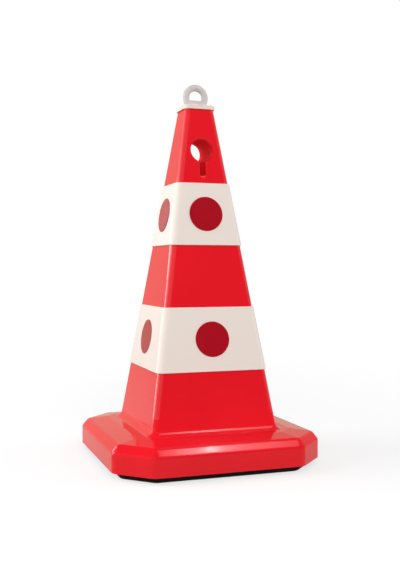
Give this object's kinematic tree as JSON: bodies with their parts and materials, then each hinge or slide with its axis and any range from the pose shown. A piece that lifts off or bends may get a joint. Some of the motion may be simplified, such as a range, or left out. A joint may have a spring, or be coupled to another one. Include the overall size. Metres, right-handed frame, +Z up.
{
  "type": "weighted traffic cone",
  "caption": "Square-section traffic cone with slip-on white sleeves, round red reflectors, a keyhole tunnel for a chain, an eye cap on top and a rubber ballast ring under a cut-corner base.",
  "frame": {"origin": "on the ground under the cone's axis", "axes": "+Z up along the cone's axis, -Y towards the front, one of the two faces with the keyhole"},
  "size_m": [0.411, 0.411, 0.75],
  "materials": {
    "body_red": "glossy moulded polyethylene",
    "sleeve_white": "smooth white reflective sheeting",
    "reflector_red": "red reflective sheeting",
    "cap_white": "satin moulded plastic",
    "ballast_black": "moulded recycled rubber",
    "screw_zinc": "zinc plated"
  },
  "bodies": {
    "root": {"cone_body": "body_red", "lower_sleeve": "sleeve_white", "upper_sleeve": "sleeve_white", "eye_cap": "cap_white", "ballast_ring": "ballast_black", "ballast_screws": "screw_zinc", "ballast_washers": "screw_zinc", "lower_reflector_front": "reflector_red", "lower_reflector_right": "reflector_red", "lower_reflector_back": "reflector_red", "lower_reflector_left": "reflector_red", "upper_reflector_front": "reflector_red", "upper_reflector_right": "reflector_red", "upper_reflector_back": "reflector_red", "upper_reflector_left": "reflector_red"}
  },
  "joints": []
}
